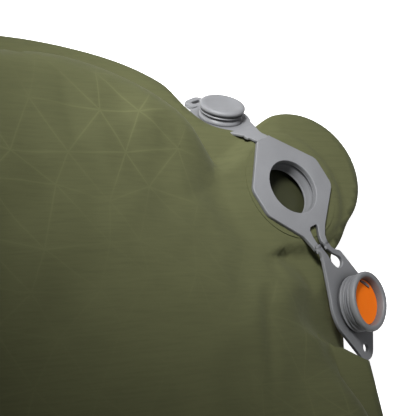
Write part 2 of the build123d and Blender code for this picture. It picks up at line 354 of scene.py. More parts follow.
class Nodes:
    """A material's node tree with short calls for the nodes used here."""

    def __init__(self, name):
        self.material = bpy.data.materials.new(name)
        self.material.use_nodes = True
        self.tree = self.material.node_tree
        self.surface = self.tree.nodes["Principled BSDF"]

    def add(self, kind, inputs=None, **settings):
        node = self.tree.nodes.new("ShaderNode" + kind)
        for key, value in settings.items():
            setattr(node, key, value)
        for key, value in (inputs or {}).items():
            self.give(node.inputs[key], value)
        return node

    def give(self, socket, value):
        if isinstance(value, bpy.types.NodeSocket):
            self.tree.links.new(value, socket)
        else:
            socket.default_value = value

    def place(self):
        return self.add("TexCoord").outputs["Object"]

    def noise(self, scale, detail=3.0, rough=0.5, vector=None):
        return self.add("TexNoise", {"Vector": vector or self.place(), "Scale": scale, "Detail": detail,
                                     "Roughness": rough}).outputs["Fac"]

    def blotches(self, scale, detail=3.0):
        return self.range(self.noise(scale, detail), 0.3, 0.7, 0.0, 1.0)

    def math(self, operation, a, b=0.0, c=0.0):
        return self.add("Math", {0: a, 1: b, 2: c}, operation=operation).outputs[0]

    def range(self, value, low, high, to_low, to_high):
        return self.add("MapRange", {"Value": value, "From Min": low, "From Max": high, "To Min": to_low,
                                     "To Max": to_high}, interpolation_type="SMOOTHSTEP").outputs[0]

    def mix(self, share, a, b):
        """Colour a, or b where the share is 1; the node's colour sockets go by number."""
        node = self.add("Mix", data_type="RGBA")
        for socket, value in ((node.inputs["Factor"], share), (node.inputs[6], a), (node.inputs[7], b)):
            self.give(socket, value)
        return node.outputs[2]

    def bump(self, height, strength, distance, normal=None):
        node = self.add("Bump", {"Height": height, "Strength": strength, "Distance": distance})
        if normal is not None:
            self.give(node.inputs["Normal"], normal)
        return node.outputs["Normal"]

    def set(self, **inputs):
        for key, value in inputs.items():
            self.give(self.surface.inputs[key.replace("_", " ")], value)


def fabric_material(name, colour, lined=False):
    """Plain-woven nylon face with fine cross threads, soft sheen and slight blotches.

    lined adds the top cover's pale embossed triangle lines.
    """
    n = Nodes(name)
    place = n.place()
    base = n.mix(n.blotches(9.0), shaded(colour, 0.93), shaded(colour, 1.07))
    threads = []
    for direction in ("X", "Y"):
        wave = n.add("TexWave", {"Vector": place, "Scale": thread_scale, "Distortion": 1.2, "Detail": 2.0,
                                 "Detail Scale": 3.0}, wave_type="BANDS", bands_direction=direction)
        threads.append(wave.outputs["Fac"])
    weave = n.math("MULTIPLY", threads[0], threads[1])
    stretched = n.add("Mapping", {"Vector": place, "Scale": (900.0, 60.0, 300.0)}).outputs["Vector"]
    streak = n.noise(1.0, 2.0, 0.6, stretched)
    base = n.mix(n.range(weave, 0.0, 1.0, 0.0, 0.16), base, shaded(colour, 1.9))
    base = n.mix(n.range(streak, 0.35, 0.75, 0.0, 0.22), base, shaded(colour, 0.55))
    normal = n.bump(weave, 0.25, 0.0002)
    normal = n.bump(n.noise(260.0, 4.0), 0.12, 0.0008, normal)
    if lined:
        edges = n.add("Attribute", attribute_name="pattern")
        split = n.add("SeparateXYZ", {0: edges.outputs["Vector"]})
        x, y, z = split.outputs
        nearest = n.math("MINIMUM", x, n.math("MINIMUM", y, z))
        core = n.range(nearest, 0.15, 0.6, 1.0, 0.0)
        halo = n.range(nearest, 0.3, 2.0, 0.22, 0.0)
        strength = n.add("Attribute", attribute_name="pattern_strength").outputs["Fac"]
        patchy = n.range(n.noise(16.0, 2.0), 0.3, 0.65, 0.15, 1.0)
        line = n.math("MULTIPLY", n.math("MULTIPLY", n.math("MAXIMUM", core, halo), strength), patchy)
        base = n.mix(n.math("MULTIPLY", line, 0.42), base, shaded(colour, 1.7))
        normal = n.bump(line, 0.12, 0.0003, normal)
    n.set(Base_Color=base, Roughness=0.82, Normal=normal, Specular_IOR_Level=0.25)
    n.set(Sheen_Weight=0.08, Sheen_Roughness=0.45, Sheen_Tint=(0.8, 0.85, 0.6, 1.0))
    return n.material


def shade_lining_material():
    """The inside of the covers: an airtight coating with a slight gloss, coloured dark as painted shade for the
    hollows that light hardly reaches.
    """
    n = Nodes("inner_side_painted_shade")
    base = n.mix(n.blotches(30.0), srgb(34, 36, 17), srgb(48, 50, 27))
    n.set(Base_Color=base, Roughness=0.6, Normal=n.bump(n.noise(140.0, 4.0), 0.2, 0.0006))
    return n.material


def plastic_material(name, colour, roughness, speckle=0.06, paint_crevice_shade=True, glow=0.0):
    """Soft moulded plastic: satin, with a fine moulded grain and faint handling marks.

    Corner darkening, where it is asked for, is painted shade: corners and hollows that see little sky are given a
    darker colour. glow is painted light: the part gives off light of its own colour, though it is no lamp.
    """
    n = Nodes(name)
    high = shaded(colour, 1 + speckle)
    base = n.mix(n.blotches(55.0, 4.0), shaded(colour, 1 - speckle), high)
    worn = n.range(n.noise(420.0, 2.0), 0.62, 0.75, 0.0, 0.25)
    base = n.mix(worn, base, high)
    if paint_crevice_shade:
        # painted shade: the colour darkens where ambient occlusion finds nearby surfaces, in corners and hollows
        open_sky = n.add("AmbientOcclusion", {"Distance": 0.012}, samples=8).outputs["AO"]
        base = n.mix(n.range(open_sky, 0.15, 0.9, 0.0, 1.0), shaded(colour, 0.25), base)
    rough = n.range(n.noise(120.0, 3.0), 0.3, 0.7, roughness - 0.06, roughness + 0.08)
    n.set(Base_Color=base, Roughness=rough, Normal=n.bump(n.noise(1500.0, 2.0), 0.08, 0.0001))
    # a painted glow where glow is above 0: emission in the part's own colour, though the part is no lamp
    n.set(Emission_Color=base, Emission_Strength=glow)
    return n.material


def foam_material():
    """Open-cell foam."""
    n = Nodes("open_cell_foam")
    cells = n.add("TexVoronoi", {"Vector": n.place(), "Scale": 700.0}).outputs["Distance"]
    base = n.mix(n.range(cells, 0.1, 0.7, 0.0, 1.0), srgb(170, 165, 140), srgb(214, 208, 184))
    n.set(Base_Color=base, Roughness=0.95, Normal=n.bump(cells, 0.6, 0.001))
    return n.material


thread_scale = 620.0
olive = srgb(90, 92, 62)
top_fabric = fabric_material("top_fabric", olive, lined=True)
bottom_fabric = fabric_material("bottom_fabric", srgb(76, 78, 50))
patch_fabric = fabric_material("patch_fabric", olive)
shade_lining = shade_lining_material()
grey_plastic = plastic_material("grey_plastic", srgb(132, 133, 136), 0.5)
seat_plastic = plastic_material("seat_plastic", srgb(120, 121, 125), 0.5)
# the orange silicone gets a painted glow of 0.2 and no painted crevice shade
orange_silicone = plastic_material("orange_silicone", srgb(240, 114, 0), 0.6, 0.04, False, 0.2)
foam = foam_material()

# ---- plan of the pad ----

head_x = 910.0
shoulder_y = 250.0
foot_y = 200.0
taper_x = 300.0
head_radius = 116.0
foot_radius = 90.0
cut_back = 18.0
bite_radius = 34.0
bite_fillet = 26.0
margin_width = 17.0
ear_centre = np.array((-4.4, 15.5))  # valve coordinates
ear_reach = np.array((32.9, 37.9))
ear_lift = 2.4  # the ear's rim is held up by the stiff plate
gussets = [((-27.0, -20.0), 19.0), ((19.5, 5.5), 16.8)]  # (centre, radius) beside the ear
notch_centre = np.array((-69.0, 3.0))
notch_radius = 31.0
weld_height = 25.0
# the welded margin is wider or narrower at these places: along the edge, by how much, over what
# reach, and only on the outer side of this second valve coordinate
margin_changes = [(75.0, 5.0, 45.0, -120.0), (-113.0, -6.5, 26.0, -150.0)]
ear_blend = 9.0
gusset_blend = 8.0
notch_blend = 5.0
probe_step = 0.05
fine_step = 2.0  # step of the edge loop near the valve
coarse_step = 12.0
fine_reach = 130.0
most_steps = 3000
fine_mesh_reach = 150.0


def foot_side(side):
    """Half of the foot end, from the taper's start to the middle of the foot edge."""
    taper = (taper_x, side * shoulder_y, 0)
    return rounded([taper, (-head_x, side * foot_y, foot_radius), (-head_x, 0.0, 0)], 4)[:-1]


def weld_loop():
    """The weld line round the thick body, counter-clockwise seen from above."""
    corner = np.array((head_x - head_radius, -shoulder_y + cut_back + head_radius))
    fillet_reach = bite_radius + bite_fillet
    back = sqrt(fillet_reach ** 2 - bite_fillet ** 2)
    side_fillet = np.array((hole[0] - back, -shoulder_y + bite_fillet))
    # the other fillet touches both the bite and the corner's arc
    span = norm(corner - hole[:2])
    reach = ((fillet_reach ** 2 - (head_radius - bite_fillet) ** 2) / span + span) / 2
    across = sqrt(fillet_reach ** 2 - reach ** 2)
    to_corner = unit(corner - hole[:2])
    corner_fillet = hole[:2] + to_corner * reach + np.array((to_corner[1], -to_corner[0])) * across
    loop = foot_side(+1) + foot_side(-1)[::-1][1:]
    bite_from = angle_of(side_fillet - hole[:2])
    bite_to = angle_of(corner_fillet - hole[:2])
    loop += arc(side_fillet, bite_fillet, -90, bite_from - 180, 6)
    loop += arc(hole[:2], bite_radius, bite_from, bite_to, 5)[1:-1]
    loop += arc(corner_fillet, bite_fillet, bite_to + 180, angle_of(corner_fillet - corner) + 360, 6)
    loop += arc(corner, head_radius, angle_of(corner_fillet - corner), 0, 3)[1:]
    loop += arc((head_x - head_radius, shoulder_y - head_radius), head_radius, 0, 90, 3)
    return loop


weld = weld_loop()


def signed_weld_distance(points):
    """Distance to the weld line, negative inside it."""
    distance = distance_to_loop(points, weld)
    return np.where(inside(points, [weld]), -distance, distance)


def edge_field(points):
    """Negative inside the pad's outer edge, positive outside."""
    v = to_valve(points)
    width = margin_width
    for place, amount, reach, side_limit in margin_changes:
        width = width + amount * np.exp(-((v[:, 0] - place) / reach) ** 2) * (v[:, 1] > side_limit)
    band = signed_weld_distance(points) - width
    ear = (norm((v - ear_centre) / ear_reach, axis=1) - 1) * ear_reach.mean()
    notch = notch_radius - norm(v - notch_centre, axis=1)
    cloth = smooth_min(band, ear, ear_blend)
    for centre, radius in gussets:
        cloth = smooth_min(cloth, norm(v - centre, axis=1) - radius, gusset_blend)
    return smooth_max(cloth, notch, notch_blend)


def trace_edge():
    """The outer edge as a loop: walks round the zero line of the edge field."""
    def field(p):
        d = probe_step
        f = edge_field(np.array([p, p + (d, 0), p - (d, 0), p + (0, d), p - (0, d)]))
        return f[0], np.array((f[1] - f[2], f[3] - f[4])) / (2 * d)

    # it starts on the tapered side, half way along the pad
    side_y = foot_y + (shoulder_y - foot_y) * head_x / (taper_x + head_x)
    p = np.array((0.0, -side_y - margin_width))
    loop = []
    for _ in range(most_steps):
        for _ in range(3):
            value, slope = field(p)
            p = p - slope * value / max(slope @ slope, 0.2)
        loop.append(tuple(p))
        if len(loop) > 20 and norm(p - loop[0]) < 0.8 * step:
            break
        beyond = max(0.0, norm(p - hole[:2]) - fine_reach)
        step = min(coarse_step, fine_step + beyond * 0.05)
        slope = field(p)[1]
        p = p + unit(np.array((-slope[1], slope[0]))) * step
    return loop


edge_loop = trace_edge()


def resampled(loop, fine, coarse):
    """The same loop with points a set distance apart: fine near the valve, coarse elsewhere."""
    out = []
    for a, b in zip(loop, loop[1:] + loop[:1]):
        a, b = np.array(a), np.array(b)
        near = norm((a + b) / 2 - hole[:2])
        size = fine if near < fine_mesh_reach else coarse
        count = max(1, int(ceil(norm(b - a) / size)))
        out += [tuple(a + (b - a) * i / count) for i in range(count)]
    return out


# ---- embossed pattern ----

row_gap = 21.5
node_gap = 28.0
jitter = 0.3  # how far a node may stray, as a share of the gaps
overhang = 40.0  # the pattern runs this far past the weld lines
random.seed(7)


def pattern_lattice():
    """Nodes of the jittered triangle pattern and its triangles."""
    columns = int(2 * (head_x + overhang) / row_gap) + 2
    rows = int(2 * (shoulder_y + overhang) / node_gap) + 2
    nodes, triangles = [], []
    for i in range(columns):
        for j in range(rows):
            x = -head_x - overhang + i * row_gap
            y = -shoulder_y - overhang + (j + 0.5 * (i % 2)) * node_gap
            x += random.uniform(-jitter, jitter) * row_gap
            y += random.uniform(-jitter, jitter) * node_gap
            nodes.append((x, y))
    for i in range(columns - 1):
        for j in range(rows - 1):
            a, b = i * rows + j, (i + 1) * rows + j
            if i % 2:
                triangles += [(a, b + 1, b), (a, b + 1, a + 1)]
            else:
                triangles += [(a, a + 1, b), (a + 1, b + 1, b)]
    return np.array(nodes), np.array(triangles)


def sides_of(triangles):
    """The three directed sides of every triangle."""
    return [side for a, b, c in triangles.tolist() for side in ((a, b), (b, c), (c, a))]


# ---- heights of the fabric ----

roll_width = 20.0
slope_width = 110.0
slope_sets_in = (-60.0, -16.0)  # first valve coordinates between which the long slope takes over
slope_dies_out = (76.0, 113.0)
slope_lip = 0.1  # share of the slope's height that rises at once, over the lip's width
lip_width = 14.0
pad_half = 25.0
sheet = 0.3  # half of the welded margin's thickness
corner_dip_centre = np.array((-75.0, -60.0))
corner_dip_radius = 60.0
corner_dip = 0.12
body_ripple, small_ripple = 1.1, 0.45  # heights of the cover's waves
body_wave, small_wave = 85.0, 34.0  # and their lengths
body_sink = 0.9
pocket_centre = (0, 2)
pocket_radius = 30.0
pocket_wall = (-1.5, 3.5)  # the pocket's side slopes down between these distances from its outline
channel_half_width = 24.0
channel_length = 60.0
top_pocket, bottom_pocket = 6.2, 4.0  # how far the ear's pocket stands off the margin
top_gap, bottom_gap = 0.4, 1.2  # clearance of the two covers under the hanging flap

# creases at the ends of the weld bite, in valve coordinates:
# (place, direction in degrees, half length, depth)
creases = [
    ((33.0, -27.0), 150.0, 9.0, 0.5),
    ((30.0, -38.0), 165.0, 12.0, 0.4),
    ((-33.0, -30.0), 35.0, 10.0, 0.8),
    ((43.0, -60.0), 120.0, 15.0, 0.9),
    ((60.0, -75.0), 140.0, 22.0, 0.9),
]
crease_half_width = 3.6
crease_ridge = 0.6  # height of the ridge beside a crease, as a share of its depth
ridge_aside, ridge_half_width = 6.5, 4.5


def ear_pocket(v):
    """Signed distance to the raised pocket under the valve: a disc with a channel into the pad."""
    disc = norm(v - pocket_centre, axis=1) - pocket_radius
    channel = np.maximum(v[:, 1], -v[:, 1] - channel_length)
    channel = np.maximum(np.abs(v[:, 0]) - channel_half_width, channel)
    return smooth_min(disc, channel, 8.0)


def off_pocket(v):
    """0 on the pocket, 1 away from it."""
    return ramp(ear_pocket(v), *pocket_wall)


def rim_lift(v):
    """How far the ear's flat rim is held up, outward of the hole."""
    return ear_lift * smooth01(v[:, 1] / 22) * off_pocket(v)


def ripple(points, scale, seed=0.0):
    """Gentle waves of about the given length."""
    return np.array([noise.noise(Vector((p[0] / scale, p[1] / scale, seed))) for p in points])


def round_roll(depth):
    """0..1 rise of a rounded side, over the depth inside the weld."""
    t = np.clip(depth / roll_width, 0, 1)
    return np.sqrt(np.clip(1 - (1 - t) ** 2, 0, 1))


def dome_profile(depth, v):
    """0..1 rise of the thick body inside the weld: a round roll, but a long slope beside the valve."""
    gentle = ramp(v[:, 0], *slope_sets_in) * (1 - ramp(v[:, 0], *slope_dies_out))
    t = np.clip(depth / slope_width, 0, 1)
    slope = slope_lip * smooth01(depth / lip_width) + (1 - slope_lip) * (1 - (1 - t) ** 2)
    return round_roll(depth) * (1 - gentle) + slope * gentle


# outline of the hanging flap seen from above: (distance out from the hole, half width)
flap_shadow = [(35, 5.0), (44, 8.0), (60, 17.0), (67, 18.0), (75, 17.0), (89, 6.5), (95, 0.0)]
flap_sets_in = (40.0, 48.0)
flap_end = 94.0
short_fade = 3.5
long_fade = 40.0


def flap_ceiling(v):
    """Height of the inflation flap's underside, hanging at its lowest, over valve coordinates."""
    lowest = joints["tether_bend"]["range_deg"][0]
    corners = hung([(0, -20, -2), (0, 20, -2), (55, -20, -2)], "tether_bend", 1, lowest)
    local = (corners - hole) @ valve_axes.T
    normal = np.cross(local[1] - local[0], local[2] - local[0])
    return local[0][2] - ((v - local[0][:2]) @ normal[:2]) / normal[2] + hole[2]


def pressed_down(z, v, gap_below):
    """Heights held under the hanging inflation flap, fading out beyond its outline.

    The fade is long on the pad's side, where the cover slopes up, and short on the outer side.
    """
    out, half_widths = zip(*flap_shadow)
    beside = np.abs(v[:, 1]) - np.interp(v[:, 0], out, half_widths) - 1.0
    gap = np.maximum(beside, (v[:, 0] - flap_end) * 3)
    pad_side = ramp(-v[:, 1], 2, 12) * (1 - ramp(v[:, 0], 55, 80))
    fade = short_fade + (long_fade - short_fade) * pad_side
    under = ramp(v[:, 0], *flap_sets_in) * (1 - smooth01(gap / fade))
    ceiling = flap_ceiling(v) - gap_below
    return np.where(z > ceiling, z + (ceiling - z) * under, z)


def top_height(points, weld_distance):
    v = to_valve(points)
    depth = np.maximum(-weld_distance, 0)
    rise = dome_profile(depth, v)
    dip = np.exp(-((v - corner_dip_centre) ** 2).sum(1) / corner_dip_radius ** 2)
    z = weld_height + sheet + (pad_half - sheet) * rise * (1 - corner_dip * dip)
    waves = body_ripple * ripple(points, body_wave) + small_ripple * ripple(points, small_wave, 3.0)
    z += smooth01(depth / 40) * (waves - body_sink)
    z = smooth_max(z, weld_height + sheet + top_pocket * (1 - off_pocket(v)), 2.5)
    z += rim_lift(v)
    for (x, y), direction, length, crease_depth in creases:
        c, s = cos(radians(direction)), sin(radians(direction))
        a = (v[:, 0] - x) * c + (v[:, 1] - y) * s
        b = -(v[:, 0] - x) * s + (v[:, 1] - y) * c
        z -= crease_depth * np.exp(-(a / length) ** 2 - (b / crease_half_width) ** 2)
        ridge = (b - ridge_aside) / ridge_half_width
        z += crease_ridge * crease_depth * np.exp(-(a / length) ** 2 - ridge ** 2)
    return pressed_down(z, v, top_gap)


def bottom_height(points, weld_distance):
    v = to_valve(points)
    depth = np.maximum(-weld_distance, 0)
    z = weld_height - sheet - (pad_half - sheet) * round_roll(depth)
    z = smooth_min(z, weld_height - sheet - bottom_pocket * (1 - off_pocket(v)), 2.0)
    z += rim_lift(v)
    return np.maximum(pressed_down(z, v, bottom_gap), 0.0)


# ---- cloth simulation of the top cover ----

sim_cell = 7.0
sim_frames = 20
sim_cap = 2.2
sim_clear = 46.0  # the valve's stiff pocket, held still
cloth_settings = {
    "quality": 5, "mass": 0.1, "tension_stiffness": 12, "compression_stiffness": 12,
    "shear_stiffness": 6, "bending_stiffness": 0.3, "use_pressure": True, "uniform_pressure_force": 4.0,
    "shrink_min": -0.035,  # spare cloth, as a share of its length
    "vertex_group_mass": "pins",
}
foam_hold = 0.35  # how firmly the foam holds the cover bonded to it
fine_blur = 1  # wrinkles are what lies between these two numbers of blurring passes
coarse_blur = 30


def blurred(grid, passes):
    """A grid of values smoothed along both of its directions."""
    for _ in range(passes):
        for axis in (0, 1):
            grid = (np.roll(grid, 1, axis) + 2 * grid + np.roll(grid, -1, axis)) / 4
    return grid


def simulated_wrinkles():
    """Height of the wrinkles in a coarse sheet that is blown up, as a plan lattice.

    It is pinned along the weld and round the valve, and held softly by the foam elsewhere. The even
    swelling is left out, because the bonded foam holds it back.
    """
    xs = np.arange(-head_x, head_x + sim_cell, sim_cell)
    ys = np.arange(-shoulder_y, shoulder_y + sim_cell, sim_cell)
    plan = np.array([(x, y) for x in xs for y in ys])
    signed = signed_weld_distance(plan)
    z = top_height(plan, signed)
    rows = len(ys)
    starts = [i * rows + j for i in range(len(xs) - 1) for j in range(rows - 1)]
    quads = [[k, k + rows, k + rows + 1, k + 1] for k in starts]
    quads = [quad for quad in quads if signed[quad].max() < sim_cell]
    cloth_sheet = make_object("cloth_sheet", np.column_stack([plan, z]), quads, foam)
    held = (signed > -3) | (norm(to_valve(plan), axis=1) < sim_clear)
    pins = cloth_sheet.vertex_groups.new(name="pins")
    pins.add(np.nonzero(held)[0].tolist(), 1.0, "ADD")
    pins.add(np.nonzero(~held)[0].tolist(), foam_hold, "ADD")
    cloth = cloth_sheet.modifiers.new("cloth", "CLOTH")
    for key, value in cloth_settings.items():
        setattr(cloth.settings, key, value)
    cloth.settings.effector_weights.gravity = 0.0
    cloth.collision_settings.use_collision = False
    cloth.point_cache.frame_end = sim_frames
    for number in range(1, sim_frames + 1):
        scene.frame_set(number)
    moved = cloth_sheet.evaluated_get(bpy.context.evaluated_depsgraph_get())
    place = np.empty(len(plan) * 3)
    moved.data.vertices.foreach_get("co", place)
    scene.frame_set(1)
    bpy.data.meshes.remove(cloth_sheet.data)  # and the sheet itself with it
    lift = (place.reshape(-1, 3)[:, 2] * 1000 - z).reshape(len(xs), rows)
    wrinkles = blurred(lift, fine_blur) - blurred(lift, coarse_blur)
    return xs, ys, np.clip(wrinkles, -sim_cap, sim_cap)


def lattice_value(lattice, points):
    """The lattice's value at plan points, evened out between its nodes."""
    xs, ys, grid = lattice
    across = np.clip((points[:, 0] - xs[0]) / sim_cell, 0, len(xs) - 1.001)
    up = np.clip((points[:, 1] - ys[0]) / sim_cell, 0, len(ys) - 1.001)
    i, j = across.astype(int), up.astype(int)
    s, t = smooth01(across - i), smooth01(up - j)
    low = grid[i, j] * (1 - s) + grid[i + 1, j] * s
    high = grid[i, j + 1] * (1 - s) + grid[i + 1, j + 1] * s
    return low * (1 - t) + high * t


# ---- the two covers ----

collar_radius = 16.3
row_offsets = (0.3, 1.0, 2.2, 4.0, 6.5, 9.5, 13.5, 18.0, 24.0, 30.0)
# (spacing, from, to): how far apart the filling's points are, by distance from the valve
fill_zones = [(3.2, 0, 130), (7.0, 130, 300), (15.0, 300, 5000)]
cell = 4.0  # side of the squares that neighbours are looked up in
plain_radius = 24.0  # no pattern this close to the hole
# (out to, parts): how finely the pattern's lines are split, by distance from the valve
line_parts = [(200, 8), (420, 4), (5000, 2)]


def add_pattern(points, segments):
    """Adds the pattern's lines, split finely near the valve. Returns its nodes and triangles."""
    nodes, triangles = pattern_lattice()
    near = norm(nodes - hole[:2], axis=1)
    clear = (distance_to_loop(nodes, edge_loop) > 3) & (near > plain_radius)
    kept = clear & inside(nodes, [edge_loop])
    index = {}
    for i in np.nonzero(kept)[0]:
        index[i] = len(points)
        points.append(tuple(nodes[i]))
    for a, b in sorted({(min(side), max(side)) for side in sides_of(triangles)}):
        if a in index and b in index:
            p, q = nodes[a], nodes[b]
            near = norm((p + q) / 2 - hole[:2])
            parts = next(parts for reach, parts in line_parts if near < reach)
            chain = [index[a]] + list(range(len(points), len(points) + parts - 1)) + [index[b]]
            points += [tuple(p + (q - p) * k / parts) for k in range(1, parts)]
            segments += list(zip(chain, chain[1:]))
    return nodes, triangles


def weld_rows():
    """Points in rows along the inside of the weld, where the fabric curves most."""
    outline = np.array(resampled(weld, 3.0, 12.0))
    inward = inward_normals(outline)
    rows = []
    for offset in row_offsets:
        row = outline + inward * offset
        rows += [tuple(p) for p in row[-signed_weld_distance(row) > offset - 0.1]]
    return rows


def filling():
    """Staggered rows of points over the whole pad, clear of its edge and weld."""
    rows = []
    for size, low, high in fill_zones:
        xs = np.arange(-head_x - 30, head_x + 30, size)
        ys = np.arange(-shoulder_y - 60, shoulder_y + 30, size * 0.87)
        for r, y in enumerate(ys):
            row = np.stack([xs + (r % 2) * size / 2, np.full(len(xs), y)], 1)
            near = norm(row - hole[:2], axis=1)
            rows.append(row[(near >= low) & (near < high)])
    fill = np.concatenate(rows)
    clear = (distance_to_loop(fill, edge_loop) > 1.2) & (np.abs(signed_weld_distance(fill)) > 1.0)
    return [tuple(p) for p in fill[clear & inside(fill, [edge_loop])]]


def add_spaced(points, groups):
    """Adds each (group, gap) of points, leaving out those nearer than the gap to an earlier point."""
    cells = {}
    for p in points:
        cells.setdefault((int(p[0] // cell), int(p[1] // cell)), []).append(p)
    for group, gap in groups:
        for p in group:
            near_valve = hypot(p[0] - hole[0], p[1] - hole[1]) < fine_mesh_reach
            room = gap if near_valve else gap * 2
            i, j = int(p[0] // cell), int(p[1] // cell)
            near = [q for di in (-1, 0, 1) for dj in (-1, 0, 1) for q in cells.get((i + di, j + dj), ())]
            if all((q[0] - p[0]) ** 2 + (q[1] - p[1]) ** 2 >= room * room for q in near):
                points.append(p)
                cells.setdefault((i, j), []).append(p)


def plan_points():
    """Plan points and segments of the fabric, and the pattern's nodes and triangles."""
    collar = [tuple(hole[:2] + np.array(p)) for p in arc((0, 0), collar_radius, 0, 352.5, 7.5)]
    points, segments = [], []
    for loop in (resampled(edge_loop, 2.5, 14.0), resampled(weld, 3.0, 14.0), collar):
        segments += loop_segments(len(points), len(loop))
        points += loop
    nodes, triangles = add_pattern(points, segments)
    add_spaced(points, [(weld_rows(), 0.7), (filling(), 1.8)])
    return points, segments, nodes, triangles


def pattern_distances(centres, corners, nodes, triangles):
    """Distances from each mesh triangle's corners to the three lines of the pattern triangle round it."""
    tri = nodes[triangles]
    side = np.roll(tri, -1, axis=1) - tri
    normals = np.stack([-side[..., 1], side[..., 0]], 2) / norm(side, axis=2)[..., None]
    to_opposite = np.roll(tri, -2, axis=1) - tri
    normals *= np.sign((to_opposite * normals).sum(2))[..., None]
    offsets = (tri * normals).sum(2)
    tree = KDTree(len(tri))
    for i, (x, y) in enumerate(tri.mean(1)):
        tree.insert((x, y, 0), i)
    tree.balance()
    result = np.full(corners.shape[:2] + (3,), far_from_lines)
    for row, centre in enumerate(centres):
        for _, i, _ in tree.find_n((centre[0], centre[1], 0), triangles_tried):
            if (normals[i] @ centre - offsets[i]).min() > -0.001:
                result[row] = corners[row] @ normals[i].T - offsets[i]
                break
    return result


dimmed_lines_centre = np.array((40.0, -150.0))  # the pattern's pale lines are dimmed most here, in valve coordinates: painted shade on the dimly lit part of the cover
dimmed_lines_radius = 100.0
far_from_lines = 50.0
triangles_tried = 8
foam_edge_gap = 9.0
foam_skin_gap = 2.5
cover_thickness = 0.5


def foam_slab(verts, faces, signed, top_z, bottom_z):
    """The foam between the covers: follows them a little way inside, away from the weld."""
    inner = (signed[faces] < -foam_edge_gap).all(1)
    used, faces = renumbered(faces[inner], len(verts))
    count = len(used)
    middle = (top_z[used] + bottom_z[used]) / 2
    high = np.maximum(top_z[used] - foam_skin_gap, middle)
    low = np.minimum(bottom_z[used] + foam_skin_gap, middle)
    points = np.concatenate([np.column_stack([verts[used], high]), np.column_stack([verts[used], low])])
    sides = sides_of(faces)
    known = set(sides)
    rim = [(p, q) for p, q in sides if (q, p) not in known]
    skin = faces.tolist() + (faces[:, ::-1] + count).tolist()
    skin += [(q, p, p + count, q + count) for p, q in rim]
    attach(make_object("foam_slab", points, skin, foam), "pad", "foam_core")


def build_covers():
    points, segments, nodes, triangles = plan_points()
    verts, faces = triangulate(points, segments, [edge_loop])
    used, faces = renumbered(faces, len(verts))
    verts = verts[used]
    signed = signed_weld_distance(verts)
    centres = verts[faces].mean(1)
    out_of_collar = norm(centres - hole[:2], axis=1) > collar_radius - 0.2
    top_z = top_height(verts, signed)
    top_z += lattice_value(simulated_wrinkles(), verts) * ramp(-signed, 1, 9)
    bottom_z = bottom_height(verts, signed)
    top_points = np.column_stack([verts, np.maximum(top_z, bottom_z + 2 * sheet)])
    bottom_points = np.column_stack([verts, bottom_z])
    a, b, c = verts[faces].swapaxes(0, 1)
    upside_down = (b - a)[:, 0] * (c - a)[:, 1] < (b - a)[:, 1] * (c - a)[:, 0]
    faces[upside_down] = faces[upside_down][:, ::-1]
    top_faces = faces[out_of_collar]
    top = make_object("top_cover_fabric", top_points, top_faces.tolist(), top_fabric)
    bottom = make_object("bottom_cover_fabric", bottom_points, faces[:, ::-1].tolist(), bottom_fabric)
    lines = pattern_distances(verts[top_faces].mean(1), verts[top_faces], nodes, triangles)
    attribute = top.data.attributes.new("pattern", "FLOAT_VECTOR", "CORNER")
    attribute.data.foreach_set("vector", lines.reshape(-1).astype(np.float32))
    v = to_valve(verts)
    strength = ramp(-signed, 6, 20) * ramp(norm(v, axis=1), 46, 66)
    # painted shade: the pale lines are weakened around the dimly lit part of the cover
    strength *= 1 - 0.85 * np.exp(-(norm(v - dimmed_lines_centre, axis=1) / dimmed_lines_radius) ** 2)
    attribute = top.data.attributes.new("pattern_strength", "FLOAT", "POINT")
    attribute.data.foreach_set("value", strength.astype(np.float32))
    foam_slab(verts, faces, signed, top_points[:, 2], bottom_points[:, 2])
    for obj, node, slot in ((top, "top_cover", "top_fabric"), (bottom, "bottom_cover", "bottom_fabric")):
        # the inner faces take the dark lining, painted shade inside the pad's hollows
        obj.data.materials.append(shade_lining)
        shell = obj.modifiers.new("thickness", "SOLIDIFY")
        shell.thickness = cover_thickness / 1000
        shell.offset = -1
        shell.material_offset = 1
        shell.material_offset_rim = 0
        attach(obj, "pad", node)


build_covers()

# ---- valve mouldings ----

plate_thickness = 2.0
hole_radius = 14.0
waist = 5.1  # half width of the tether at its bend
slit = 1.55  # half width of the gap between its rails
bend_lap = 0.4  # each half of the tether runs this far past the bend line
knuckle_radius = plate_thickness - 0.05
knuckle_edge = waist - 0.2
neck = 4.75  # half width of the stopper's neck
plug_bend, stopper_bend = [float(((p - hole) @ valve_axes.T)[0]) for p in (plug_pivot, stopper_pivot)]
barrel_out = 32.5  # the barrel's centre, out from the tether's bend
barrel_aside = 2.6  # and how far the rails' sway takes it to one side there
flap_radius = 17.6
root_out, root_radius = 9.6, 8.8  # where the rails meet the flap
tab_out, tab_radius = 54.2, 6.6
stopper_out = 28.0  # the stopper's centre, out from its bend
stopper_flange = 15.5


def swayed(points, sway):
    """Points shifted sideways by an amount that depends on how far out they are."""
    places, shifts = zip(*sway)
    points = np.array(points, float)
    points[:, 1] += np.interp(points[:, 0], places, shifts)
    return points


def eased(knots, count=12):
    """The same (place, shift) knots joined by smooth steps."""
    out = []
    for (x0, y0), (x1, y1) in zip(knots, knots[1:]):
        for t in np.linspace(0, 1, count, endpoint=False):
            out.append((x0 + (x1 - x0) * t, y0 + (y1 - y0) * smooth01(t)))
    return out + [knots[-1]]


# the soft rails hang in a slight S: (distance out from the hole or from the bend, sideways shift)
base_sway = eased([(14.0, 0.0), (29.0, -4.8), (36.0, -4.8)])
plug_sway = eased([(-1.5, -4.9), (12.5, 3.0), (32.0, barrel_aside), (54.0, 0.8)])


def knuckle(side):
    """Round underside where a tether half ends at the bend line, one for each rail."""
    section = [(0.0, 0.0)] + arc((0, 0), knuckle_radius, -90, -16, 12)
    section = [(x * side, z) for x, z in section]
    return joined(prism(section, slit, knuckle_edge), prism(section, -knuckle_edge, -slit))


def circle(centre, radius, step=5.0):
    """A clockwise circle, for a hole."""
    return arc(centre, radius, 360, step, step)


